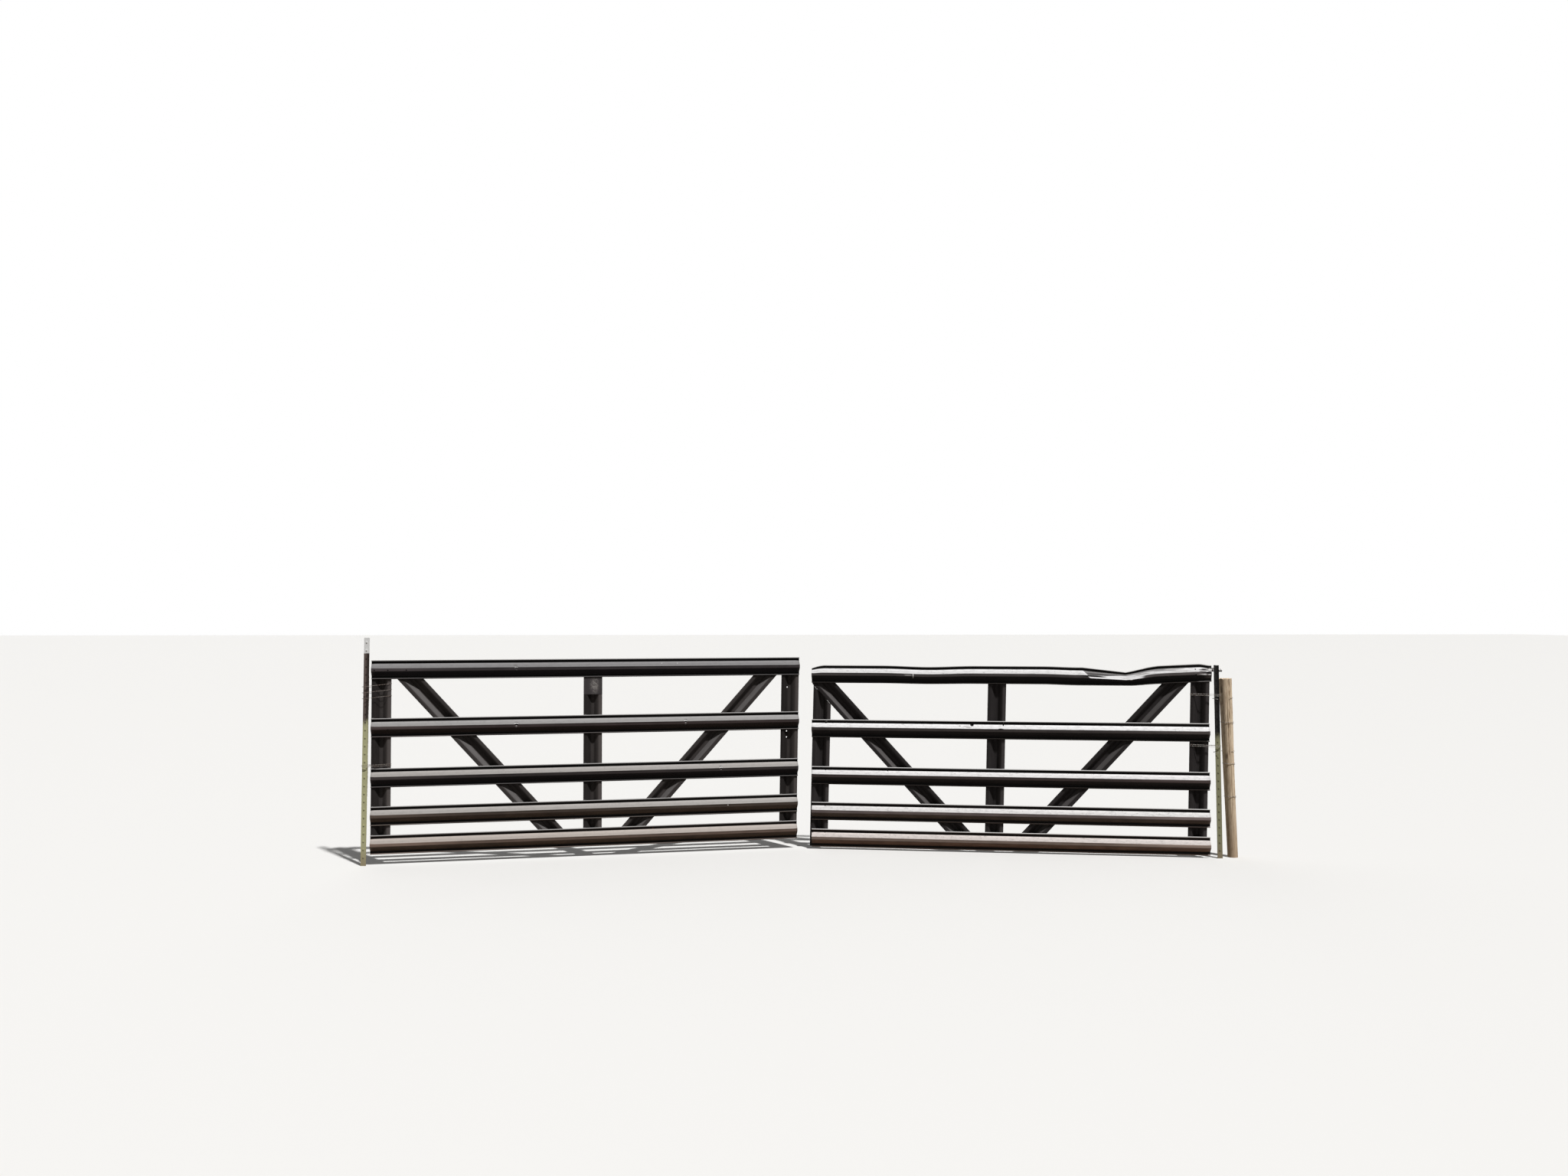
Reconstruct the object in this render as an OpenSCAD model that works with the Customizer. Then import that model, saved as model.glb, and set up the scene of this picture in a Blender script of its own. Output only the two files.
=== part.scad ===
// Pair of five-rail farm gates of rolled steel sheet, closed in a shallow vee and hung
// with wire on their posts. X runs from the left post to the right one, Y away from the
// viewer and Z up. The origin is the middle of the left steel post's foot.

/* [Rolled sheet] */
// Width of every rolled member, lip to lip
member_w = 130; // [110:1:150]
// Depth of the members, from the lips to the crown
member_d = 31; // [24:1:40]
// Width of the flat crown
crown_w = 20; // [14:1:28]
// Width of each flat edge, from the outside of its bead to the sloping side
edge_w = 24; // [18:1:28]
// Thickness of the sheet
sheet_t = 1.5; // [1:0.1:2.5]
// Outer diameter of the rolled bead along each edge
bead_d = 9; // [7:0.5:11]
// Size of the bend beside the crown and the edges
bend_r = 5; // [3:0.5:7]

/* [Gate leaf] */
// Length of a whole leaf
leaf_l = 2985; // [2600:5:3300]
// Length sawn off the free end of the right leaf
cut_off = 170; // [150:1:200]
// Length trimmed off the hinge end of the right leaf
right_trim = 12; // [0:1:20]
// Space under the top rail
gap_1 = 266; // [240:1:300]
// Space under the second rail
gap_2 = 211; // [180:1:240]
// Space under the third rail
gap_3 = 129; // [110:1:150]
// Space under the fourth rail
gap_4 = 64; // [50:1:80]
// How far the uprights stop short of the rails' outer edges
upright_inset = 5; // [2:1:10]
// Distance of a brace from the leaf's uncut end, at the underside of the top rail
brace_end = 254.5; // [240:0.5:280]
// Offset of the left leaf's braces from its middle, on the bottom rail
left_foot = 292; // [230:1:340]
// Offset of the right leaf's braces from its middle, on the bottom rail
right_foot = 270; // [230:1:340]
// How far the braces stop short of the rails' outer edges
brace_inset = 20; // [10:1:30]
// Gap between a brace and an upright that it meets
weld_gap = 0.6; // [0.3:0.1:1]
// Lean of the left leaf's free end, in degrees
left_rack = 0.9; // [0:0.1:1.5]
// Lean of the right leaf's uprights, in degrees
right_rack = 1.4; // [0:0.1:1.8]

/* [Bare plate] */
// Height of the plate on the left leaf's middle upright
plate_h = 122; // [90:1:150]
// Thickness of that plate
plate_t = 2; // [1:0.5:4]

/* [Hanging] */
// Distance between the two hinge axes
span = 5887; // [5882:1:5930]
// Space from the left hinge axis to the rails
left_hang = 33; // [32:1:36]
// Space from the right hinge axis to the rails
right_hang = 50; // [48:1:60]
// Height of the left leaf over the ground
left_lift = 72; // [40:1:100]
// Height of the right leaf over the ground
right_lift = 16; // [10:1:60]
// Turn of each leaf from the line between the posts, in degrees
leaf_turn = 9.15; // [5:0.05:15]

/* [Steel posts] */
// Width of the post's flange
flange_w = 36; // [32:1:38]
// Depth of the post's section
tee_d = 36; // [32:1:38]
// Thickness of flange and web
tee_t = 4; // [3:0.5:5]
// Height of the left post over the ground
left_post_h = 1546; // [1450:1:1650]
// Height of the right post over the ground
right_post_h = 1348; // [1345:1:1400]
// Lean of the left post, in degrees
left_lean = 0.5; // [0:0.1:0.6]
// Lean of the right post, in degrees
right_lean = 0.7; // [0:0.1:0.8]
// Spacing of the studs on the flange
stud_pitch = 54; // [40:1:70]
// How far each stud stands out
stud_h = 3.5; // [2:0.5:4]

/* [Wood post] */
// Height of the wood post over the ground
wood_h = 1258; // [1200:1:1262]
// Diameter of its foot
wood_foot_d = 72; // [60:1:80]
// Diameter of its top
wood_top_d = 92; // [84:1:93]
// Lean of the wood post, in degrees
wood_lean = 2; // [1:0.1:2.4]
// Distance of its foot along the fence from the right hinge axis
wood_x = 120; // [116:1:128]
// Distance of its foot behind the right hinge axis
wood_y = 34; // [30:1:40]

/* [Wire] */
// Diameter of the tying wire
wire_d = 3.5; // [2.5:0.5:4]
// Running gap between a hinge tie and the section of its post
eye_gap = 3; // [2.8:0.1:4]
// Gap between a wire and what it is wound on
wrap_gap = 0.4; // [0.3:0.1:1]
// Rise of one turn of a close tie
turn_rise = 9; // [7:1:12]
// Rise of one turn of the left leaf's open upper tie
open_rise = 38; // [30:1:40]
// Height of the top of the left leaf's upper tie
left_tie_top = 1240; // [1220:1:1244]
// Height of the bottom of the left leaf's lower tie
left_tie_low = 668; // [664:1:700]
// Height of the top of the right leaf's upper tie
right_tie_top = 1150; // [1100:1:1180]
// Height of the bottom of the right leaf's lower tie
right_tie_low = 775; // [720:1:785]
// Drop of each post tie under the tie beside it
post_tie_drop = 30; // [28:1:60]

/* [Hidden] */
$fn = 32;

steel_black = [0.13, 0.12, 0.13];
steel_dull = [0.19, 0.18, 0.19];
post_green = [0.50, 0.53, 0.42];
wood_tan = [0.62, 0.50, 0.38];
wire_grey = [0.45, 0.42, 0.38];

// Heights of the rails' undersides over the leaf's lower edge, from the top rail down
leaf_h = 5 * member_w + gap_1 + gap_2 + gap_3 + gap_4;
rail_z = [
    leaf_h - member_w,
    leaf_h - 2 * member_w - gap_1,
    leaf_h - 3 * member_w - gap_1 - gap_2,
    leaf_h - 4 * member_w - gap_1 - gap_2 - gap_3,
    0
];
brace_rise = rail_z[0] - member_w;
function brace_angle(foot) = atan((leaf_l / 2 - brace_end - foot) / brace_rise);
right_l = leaf_l - cut_off - right_trim;

// The steel post's section lies in a circle round the hinge axis
tee_front = (pow(tee_d, 2) + pow(tee_t / 2, 2) - pow(flange_w / 2, 2)) / (2 * tee_d);
tee_r = norm([flange_w / 2, tee_front]);
eye_r = tee_r + eye_gap + wire_d / 2;
left_axis_z = (left_tie_top + left_tie_low) / 2;
right_axis_z = (right_tie_top + right_tie_low) / 2;
left_axis_x = left_axis_z * tan(left_lean);

function unit(v) = v / norm(v);
function polar(c, r, a) = c + r * [cos(a), sin(a)];
function arc(c, r, a0, a1, n) = [for (i = [0:n]) polar(c, r, a0 + (a1 - a0) * i / n)];
function smooth(x) = let (u = min(max(x, 0), 1)) u * u * (3 - 2 * u);

// Three points round a bend at p, between its neighbours a and b
function bend(a, p, b) = let (p0 = p + bend_r * unit(a - p), p2 = p + bend_r * unit(b - p))
    [p0, (p0 + 2 * p + p2) / 4, p2];

// Offset of a path's point to one side, with true thickness along each flat
function mitre(path, i, h) = let (
    last = len(path) - 1,
    d0 = unit(path[max(i, 1)] - path[max(i, 1) - 1]),
    d1 = unit(path[min(i, last - 1) + 1] - path[min(i, last - 1)]),
    n0 = [-d0.y, d0.x],
    n1 = [-d1.y, d1.x],
    m = unit(n0 + n1)
) path[i] + h / (m * n1) * m;

// Middle of the sheet over half of a member, from the crown's middle to the bead's end:
// [across the member, depth]
bead_mid_r = (bead_d - sheet_t) / 2;
half_path = let (
    half = member_w / 2,
    deep = member_d - sheet_t / 2,
    flat = sheet_t / 2,
    crown = [crown_w / 2, deep],
    edge = [half - edge_w, flat],
    bead = [half - bead_d / 2, flat + bead_mid_r]
) concat(
    bend([0, deep], crown, edge),
    bend(crown, edge, [half, flat]),
    arc(bead, bead_mid_r, -90, 135, 6)
);
sheet_path = concat([for (i = [len(half_path) - 1:-1:0]) [-half_path[i].x, half_path[i].y]], half_path);
sheet_n = len(sheet_path);
section = concat(
    [for (i = [0:sheet_n - 1]) mitre(sheet_path, i, sheet_t / 2)],
    [for (i = [sheet_n - 1:-1:0]) mitre(sheet_path, i, -sheet_t / 2)]
);

// Rolled member standing on z = 0, with its lips on y = 0 and its crown to the rear
module member(l) {
    linear_extrude(l) polygon(section);
}

// Member lying along X over z = 0, with its crown to the front
module rail(l) {
    translate([0, 0, member_w / 2]) rotate([0, 90, 0]) mirror([0, 1, 0]) member(l);
}

// Leaning upright whose middle is at x at half the leaf's height
module upright(x, lean, cut_low = upright_inset, cut_high = upright_inset) {
    extra = 20;
    intersection() {
        translate([x, 0, leaf_h / 2]) rotate([0, -lean, 0])
            translate([0, 0, -leaf_h / 2 - extra]) member(leaf_h + 2 * extra);
        translate([x - member_w, -member_d, cut_low])
            cube([2 * member_w, 3 * member_d, leaf_h - cut_low - cut_high]);
    }
}

// Brace on one side of the leaf's middle; dir is 1 towards the free end
module brace_bar(middle, foot, dir) {
    extra = member_w;
    length = brace_rise / cos(brace_angle(foot));
    translate([middle + dir * foot, 0, member_w]) rotate([0, dir * brace_angle(foot), 0])
        translate([0, 0, -extra]) member(length + 2 * extra);
}

// Brace cut level behind the top and bottom rails and plumb between the limits s0 and s1
module brace(middle, foot, dir, s0, s1) {
    intersection() {
        brace_bar(middle, foot, dir);
        translate([s0, -member_d, brace_inset])
            cube([s1 - s0, 3 * member_d, leaf_h - 2 * brace_inset]);
    }
}

// Leaf frames: s runs from the hinge axis to the free end, and z from the leaf's lower edge
module place_left() {
    translate([left_axis_x, 0, left_lift]) rotate([0, 0, leaf_turn]) children();
}

module place_right() {
    translate([left_axis_x + span, 0, right_lift]) rotate([0, 0, -leaf_turn])
        mirror([1, 0, 0]) children();
}

// Left leaf

module left_rail(i) {
    drop = leaf_h - member_w / 2 - rail_z[i];
    color(steel_black) place_left()
        translate([left_hang, 0, rail_z[i]]) rail(leaf_l - drop * tan(left_rack));
}

left_middle = left_hang + leaf_l / 2;
left_free = left_hang + leaf_l - member_w / 2 - leaf_h / 2 * tan(left_rack);

module left_top_rail() { left_rail(0); }
module left_second_rail() { left_rail(1); }
module left_third_rail() { left_rail(2); }
module left_fourth_rail() { left_rail(3); }
module left_bottom_rail() { left_rail(4); }

module left_hinge_upright() {
    color(steel_dull) place_left() upright(left_hang + member_w / 2, 0);
}

module left_middle_upright() {
    color(steel_dull) place_left() upright(left_middle, 0);
}

module left_free_upright() {
    color(steel_dull) place_left() upright(left_free, -left_rack);
}

module left_hinge_brace() {
    color(steel_dull) place_left()
        brace(left_middle, left_foot, -1, left_hang + member_w + weld_gap, left_middle);
}

module left_free_brace() {
    color(steel_dull) place_left() difference() {
        brace(left_middle, left_foot, 1, left_middle, left_hang + leaf_l);
        translate([left_free, 0, leaf_h / 2]) rotate([0, left_rack, 0])
            translate([-member_w / 2 - weld_gap, -member_d, -leaf_h])
            cube([3 * member_w, 3 * member_d, 2 * leaf_h]);
    }
}

// Flat plate under the top rail, over the open side of the middle upright
module left_bare_plate() {
    color(steel_dull) place_left()
        translate([left_middle - member_w / 2, -plate_t, rail_z[0] - plate_h])
        cube([member_w, plate_t, plate_h]);
}

// Right leaf, whose top rail was crushed near the hinge and bent back at the free end

right_middle = right_hang + leaf_l / 2 - right_trim;
right_free = right_hang + right_l - member_w / 2;

module right_rail(i) {
    color(steel_black) place_right() translate([right_hang, 0, rail_z[i]]) rail(right_l);
}

// Places along the right top rail, in mm from the hinge end of the rails: a crease that fades
// out at a near and a far place, the crown's fold pushed in along it, the bend upwards, the
// sag between the bend and the sound length, the shallow dip farther on, the pinched end and
// the curl
crease_s = 571;
crease_near = 340;
crease_far = 870;
crease_drop = 34;
fold_near = 390;
fold_in = 0.4;
bend_s = 450;
bend_rise = 25;
sag_near = 430;
sag_far = 1150;
sag_drop = 6;
dip_s = 1960;
dip_reach = 330;
dip_drop = 4;
press_s = 75;
press_drop = 14;
curl_s = 92;
curl_drop = 24;
top_overhang = 17;

// Where the sheet's point p = [depth, height over the rail's underside] goes at place s
function dented(s, p) = let (
    up = p.y / member_w,
    far_side = max(crease_far - s, 0) / (crease_far - crease_s),
    near_side = pow(max(s - crease_near, 0) / (crease_s - crease_near), 1.4),
    crease = min(far_side, near_side),
    fold = smooth((crease_far - s) / 90) * smooth((s - fold_near) / 110)
        * smooth((p.y - 55) / 20) * smooth((118 - p.y) / 12),
    lift = bend_rise * pow(max(1 - s / bend_s, 0), 0.8),
    sag = sag_drop * smooth((s - sag_near) / 110) * smooth((sag_far - s) / 250),
    dip = dip_drop * (1 + 1.2 * up) * smooth(1 - abs(s - dip_s) / dip_reach),
    press = smooth((press_s - s) / (press_s + top_overhang)),
    curl = pow(max(s - right_l + curl_s, 0) / curl_s, 1.5) * pow(up, 3)
) [
    p.x * (1 - 0.6 * press - fold_in * fold - 0.5 * curl),
    p.y + lift - sag - dip - crease_drop * crease * up - curl_drop * curl - press_drop * press * up
];

rail_stops = concat(
    [for (f = [0:4]) press_s - (press_s + top_overhang) * (1 - f / 4)],
    [for (f = [1:7]) press_s + (crease_near - press_s) * f / 7],
    [for (f = [1:9]) crease_near + (crease_s - crease_near) * f / 9],
    [for (f = [1:6]) crease_s + (crease_far - crease_s) * f / 6],
    [for (f = [1:5]) crease_far + (sag_far - crease_far) * f / 5],
    [for (f = [-5:5]) dip_s + dip_reach * f / 5],
    [for (f = [0:5]) right_l - curl_s * (1 - f / 5)]
);

// Strip torn out of the rail's upper slope, bent round behind the steel post:
// [place along the rail, depth, height over the rail's underside, width of the strip]
tongue = [
    [16, 8, 111, 24], [-4, 7, 111, 27], [-16, -6, 110, 27], [-28, -24, 109, 26],
    [-47, -31, 108, 25], [-67, -29, 107, 23], [-84, -24, 106, 16]
];

module torn_tongue() {
    last = len(tongue) - 1;
    skin([for (i = [0:last]) let (
        t = tongue[i],
        along = unit(tongue[min(i + 1, last)] - tongue[max(i - 1, 0)]),
        side = sheet_t / 2 * unit([along.y, -along.x])
    ) [for (c = [[-1, -1], [-1, 1], [1, 1], [1, -1]])
        [t[0] + c.x * side.x, -t[1] - c.x * side.y, t[2] + c.y * t[3] / 2]]]);
}

// Skin over rings of equal numbers of points, with flat ends
module skin(rings) {
    n = len(rings[0]);
    m = len(rings);
    points = [for (ring = rings) each ring];
    sides = [for (i = [0:m - 2], j = [0:n - 1], k = [0, 1]) let (
        a = i * n + j,
        b = i * n + (j + 1) % n,
        c = a + n,
        d = b + n
    ) k == 0 ? [a, c, b] : [b, c, d]];
    first = [[for (j = [0:n - 1]) j]];
    last = [[for (j = [n - 1:-1:0]) (m - 1) * n + j]];
    polyhedron(points, concat(sides, first, last));
}

module right_top_rail() {
    color(steel_black) place_right() translate([right_hang, 0, rail_z[0]]) union() {
        skin([for (s = rail_stops) [for (p = section) let (
            q = dented(s, [p.y, member_w / 2 + p.x])
        ) [s, -q.x, q.y]]]);
        torn_tongue();
    }
}

module right_second_rail() { right_rail(1); }
module right_third_rail() { right_rail(2); }
module right_fourth_rail() { right_rail(3); }
module right_bottom_rail() { right_rail(4); }

module right_hinge_upright() {
    color(steel_dull) place_right()
        upright(right_hang + member_w / 2 + 8, right_rack);
}

module right_middle_upright() {
    color(steel_dull) place_right() upright(right_middle, right_rack);
}

// The free upright was welded back in under the brace, so its top is cut to the brace's slope
module right_free_upright() {
    color(steel_dull) place_right() difference() {
        upright(right_free, right_rack);
        translate([right_middle + right_foot, -member_d, member_w])
            rotate([0, brace_angle(right_foot), 0])
            translate([-4 * member_w, 0, -leaf_h])
            cube([4 * member_w + member_w / 2 + weld_gap, 3 * member_d, 3 * leaf_h]);
    }
}

module right_hinge_brace() {
    color(steel_dull) place_right() difference() {
        brace(right_middle, right_foot, -1, right_hang, right_middle);
        translate([right_hang + member_w / 2 + 8, 0, leaf_h / 2]) rotate([0, -right_rack, 0])
            translate([-3 * member_w + member_w / 2 + weld_gap, -member_d, -leaf_h])
            cube([3 * member_w, 3 * member_d, 2 * leaf_h]);
    }
}

module right_free_brace() {
    color(steel_dull) place_right()
        brace(right_middle, right_foot, 1, right_middle, right_hang + right_l - upright_inset);
}

// Steel posts

// Studded tee standing over the ground, with the flange to the front
module t_post(h, lean, axis_z) {
    sunk = 40;
    difference() {
        translate([0, 0, axis_z]) rotate([0, lean, 0]) translate([0, 0, -axis_z - sunk]) {
            linear_extrude(h + sunk) union() {
                translate([-flange_w / 2, -tee_front]) square([flange_w, tee_t]);
                translate([-tee_t / 2, -tee_front]) square([tee_t, tee_d]);
            }
            for (z = [sunk + stud_pitch:stud_pitch:sunk + h - stud_pitch / 2])
                translate([-tee_t, -tee_front - stud_h, z])
                cube([2 * tee_t, stud_h + tee_t / 2, 2 * tee_t]);
        }
        translate([-2 * sunk, -2 * sunk, -2 * sunk]) cube([4 * sunk, 4 * sunk, 2 * sunk]);
    }
}

module left_t_post() {
    color(post_green) translate([left_axis_x, 0, 0])
        t_post(left_post_h, left_lean, left_axis_z);
}

module right_t_post() {
    color(post_green) translate([left_axis_x + span, 0, 0])
        t_post(right_post_h, -right_lean, right_axis_z);
}

// Wood post: a peeled round pole, thicker at the top, with a few swellings

function wood_r(z) = wood_foot_d / 2 + (wood_top_d - wood_foot_d) / 2 * pow(z / wood_h, 1.6);
function wood_c(z) = [wood_x - z * tan(wood_lean), wood_y];
function wood_wave(z, a) = 1 - 0.035 * (1 + sin(3 * a + 0.31 * z)) * 0.5
    - 0.02 * (1 + sin(5 * a - 0.17 * z + 40)) * 0.5;
wood_rings = 24;
wood_sides = 20;

module wood_post() {
    color(wood_tan) translate([left_axis_x + span, 0, 0])
        skin([for (i = [wood_rings:-1:0]) let (z = wood_h * i / wood_rings, c = wood_c(z))
            [for (j = [0:wood_sides - 1]) let (
                a = 360 * j / wood_sides,
                r = wood_r(z) * wood_wave(z, a),
                chip = i == wood_rings ? 6 * (1 + sin(2 * a + 70)) * 0.5 : 0
            ) [c.x + r * cos(a), c.y + r * sin(a), z - chip]]]);
}

// Wire

wire_sides = 8;

// Round wire along a route of 3-D points
module wire(route) {
    last = len(route) - 1;
    skin([for (i = [0:last]) let (
        t = unit(route[min(i + 1, last)] - route[max(i - 1, 0)]),
        u = unit(cross(t, abs(t.z) < 0.9 ? [0, 0, 1] : [1, 0, 0])),
        v = cross(t, u)
    ) [for (k = [0:wire_sides - 1]) let (a = -360 * k / wire_sides)
        route[i] + wire_d / 2 * (cos(a) * u + sin(a) * v)]]);
}

// One turn of a hinge tie in the leaf's frame: round the hinge axis, over the upright's open
// side, round its far bead and back over its crown
function tie_turn(near) = let (
    out = wire_d / 2 + wrap_gap,
    bead = [near + member_w - bead_d / 2, bead_d / 2],
    bead_r = bead_d / 2 + out,
    crown = [near + (member_w - crown_w) / 2, member_d + out],
    top = atan2(crown.y, crown.x) + acos(eye_r / norm(crown)),
    front = atan2(-out, bead.x) - acos(eye_r / norm([bead.x, out]))
) concat(
    arc([0, 0], eye_r, top, front + 360, 8),
    arc(bead, bead_r, -90, 45, 3),
    arc([near + (member_w + crown_w) / 2, member_d], out, 55, 90, 1),
    [crown]
);

// Turns wound one over the other, from height z up
module hinge_tie(near, z, turns, rise) {
    loop = tie_turn(near);
    n = len(loop);
    wire([for (i = [0:turns * n - 1]) let (p = loop[i % n]) [p.x, p.y, z + rise * i / n]]);
}

module left_upper_tie() {
    color(wire_grey) place_left()
        hinge_tie(left_hang, left_tie_top - left_lift - 3 * open_rise, 3, open_rise);
}

module left_lower_tie() {
    color(wire_grey) place_left() hinge_tie(left_hang, left_tie_low - left_lift, 2, turn_rise);
}

// The right leaf's hinge upright leans, so each tie takes its place from its own height
function right_near(z) = right_hang + 8 + (leaf_h / 2 - z) * tan(right_rack);

module right_upper_tie() {
    z = right_tie_top - right_lift - 2 * turn_rise;
    color(wire_grey) place_right() hinge_tie(right_near(z), z, 2, turn_rise);
}

module right_lower_tie() {
    z = right_tie_low - right_lift;
    color(wire_grey) place_right() hinge_tie(right_near(z), z, 2, turn_rise);
}

// Belt round the leaning right steel post and the wood post, in turns from height z down
module post_tie(z, turns) {
    post_x = (right_axis_z - z) * tan(right_lean);
    c = wood_c(z) - [post_x, 0];
    r1 = tee_r + wrap_gap + wire_d / 2;
    r2 = wood_r(z) + wrap_gap + wire_d / 2;
    base = atan2(c.y, c.x);
    open = acos((r1 - r2) / norm(c));
    loop = concat(
        arc(c, r2, base - open, base + open, 10),
        arc([0, 0], r1, base + open, base + 360 - open, 6)
    );
    n = len(loop);
    translate([left_axis_x + span + post_x, 0, 0])
        wire([for (i = [0:turns * n - 1]) let (p = loop[i % n])
            [p.x, p.y, z - turn_rise * i / n]]);
}

module upper_post_tie() {
    color(wire_grey) post_tie(right_tie_top - post_tie_drop, 1);
}

module lower_post_tie() {
    color(wire_grey) post_tie(right_tie_low - post_tie_drop, 1);
}

// Ends of old fence wire that are still wound round the wood post
wrap_z = [940, 650, 420];

module post_wraps() {
    color(wire_grey) translate([left_axis_x + span, 0, 0]) for (z = wrap_z) {
        c = wood_c(z);
        wire([for (i = [0:22]) let (p = polar(c, wood_r(z) + wrap_gap + wire_d / 2, 18 * i - 60))
            [p.x, p.y, z + 0.5 * i]]);
    }
}

left_t_post();
right_t_post();
wood_post();
upper_post_tie();
lower_post_tie();
post_wraps();
left_top_rail();
left_second_rail();
left_third_rail();
left_fourth_rail();
left_bottom_rail();
left_hinge_upright();
left_middle_upright();
left_free_upright();
left_hinge_brace();
left_free_brace();
left_bare_plate();
left_upper_tie();
left_lower_tie();
right_top_rail();
right_second_rail();
right_third_rail();
right_fourth_rail();
right_bottom_rail();
right_hinge_upright();
right_middle_upright();
right_free_upright();
right_hinge_brace();
right_free_brace();
right_upper_tie();
right_lower_tie();
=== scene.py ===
"""Looks of a pair of farm gates: rolled sheet members, welds, plate, posts, wires and paint."""
import math

import bpy
import numpy as np
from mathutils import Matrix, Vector


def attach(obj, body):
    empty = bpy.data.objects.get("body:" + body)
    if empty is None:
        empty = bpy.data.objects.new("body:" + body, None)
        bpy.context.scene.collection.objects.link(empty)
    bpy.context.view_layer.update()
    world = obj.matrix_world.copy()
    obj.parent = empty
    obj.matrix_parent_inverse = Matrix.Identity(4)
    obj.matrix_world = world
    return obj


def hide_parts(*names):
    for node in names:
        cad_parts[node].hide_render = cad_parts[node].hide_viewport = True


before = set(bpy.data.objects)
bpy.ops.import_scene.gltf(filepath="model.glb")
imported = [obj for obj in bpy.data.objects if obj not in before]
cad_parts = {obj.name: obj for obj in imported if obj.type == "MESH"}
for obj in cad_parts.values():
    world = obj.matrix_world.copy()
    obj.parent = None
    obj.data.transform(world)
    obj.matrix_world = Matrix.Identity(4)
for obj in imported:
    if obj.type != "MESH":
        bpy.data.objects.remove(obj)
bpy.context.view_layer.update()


# Left leaf's rails: five lengths of sheet rolled to a hat section with a bead along each edge,
# painted black. They are welded on the open side of the uprights. The slopes that face up are
# painted pale, chalky dust with a painted highlight, the undersides are painted near black as
# painted shade, and dust pales the lowest rails, whose undersides hold painted light from the
# ground.
member_half, member_deep, crown_half, bead_wide = 0.065, 0.031, 0.010, 0.009
slope_end = member_half - 0.024
far = 9.0


def outline(step, bends=4, bead_steps=9):
    """Outline of the rolled sheet as rows (across, depth, side) in metres.

    The middle line of the sheet runs over a flat crown, slants to the flat edges and ends in a
    bead. Each corner is a quadratic curve between points one bend radius away on both flats, and
    the bead is an arc of 225 degrees. The flats are divided into lengths near the step. Both
    faces are that line, moved half the thickness along its mitred normal. Side is 1 on the
    crown's face and -1 on the hollow face."""
    thick, radius = 0.0015, 0.005
    bead_r = (bead_wide - thick) / 2
    bead_at = member_half - bead_wide / 2
    knots = np.array([[0, member_deep - thick / 2], [crown_half, member_deep - thick / 2],
                      [slope_end, thick / 2], [bead_at, thick / 2]])
    line = [knots[0]]
    for a, p, b in zip(knots[:-2], knots[1:-1], knots[2:]):
        first = p + radius * (a - p) / np.linalg.norm(a - p)
        last = p + radius * (b - p) / np.linalg.norm(b - p)
        count = max(1, round(np.linalg.norm(first - line[-1]) / step))
        t = np.linspace(0, 1, count + 1)[1:-1, None]
        line.extend(line[-1] + t * (first - line[-1]))
        t = np.linspace(0, 1, bends + 1)[:, None]
        line.extend((1 - t) ** 2 * first + 2 * t * (1 - t) * p + t ** 2 * last)
    a = np.radians(np.linspace(-90, 135, bead_steps + 1))
    line.extend(np.stack([bead_at + bead_r * np.cos(a),
                          thick / 2 + bead_r + bead_r * np.sin(a)], 1))
    line = np.array(line)
    line = np.concatenate([line[:0:-1] * [-1, 1], line])
    d = np.diff(line, axis=0)
    d /= np.linalg.norm(d, axis=1)[:, None]
    n0 = np.concatenate([d[:1], d])[:, ::-1] * [-1, 1]
    n1 = np.concatenate([d, d[-1:]])[:, ::-1] * [-1, 1]
    m = n0 + n1
    m /= np.sum(m * n1, axis=1)[:, None]
    one = np.ones((len(line), 1))
    crown = np.hstack([line + thick / 2 * m, one])
    hollow = np.hstack([line - thick / 2 * m, -one])[::-1]
    return np.concatenate([crown, hollow])


left_axis, right_axis, leaf_turn = 0.0083254, 5.895325, math.radians(9.15)
left_lift, right_lift = 0.072, 0.016


def leaf(side, s, y, z):
    """Rest place of a leaf's coordinates: s from its hinge axis, y away from the viewer and z
    from its lower edge. The left leaf is turned 9.15 degrees, and the right one mirrors it."""
    along = s * math.cos(leaf_turn) - y * math.sin(leaf_turn)
    deep = s * math.sin(leaf_turn) + y * math.cos(leaf_turn)
    if side == "left":
        return np.stack([left_axis + along, deep, z + left_lift], -1)
    return np.stack([right_axis - along, deep, z + right_lift], -1)


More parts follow.
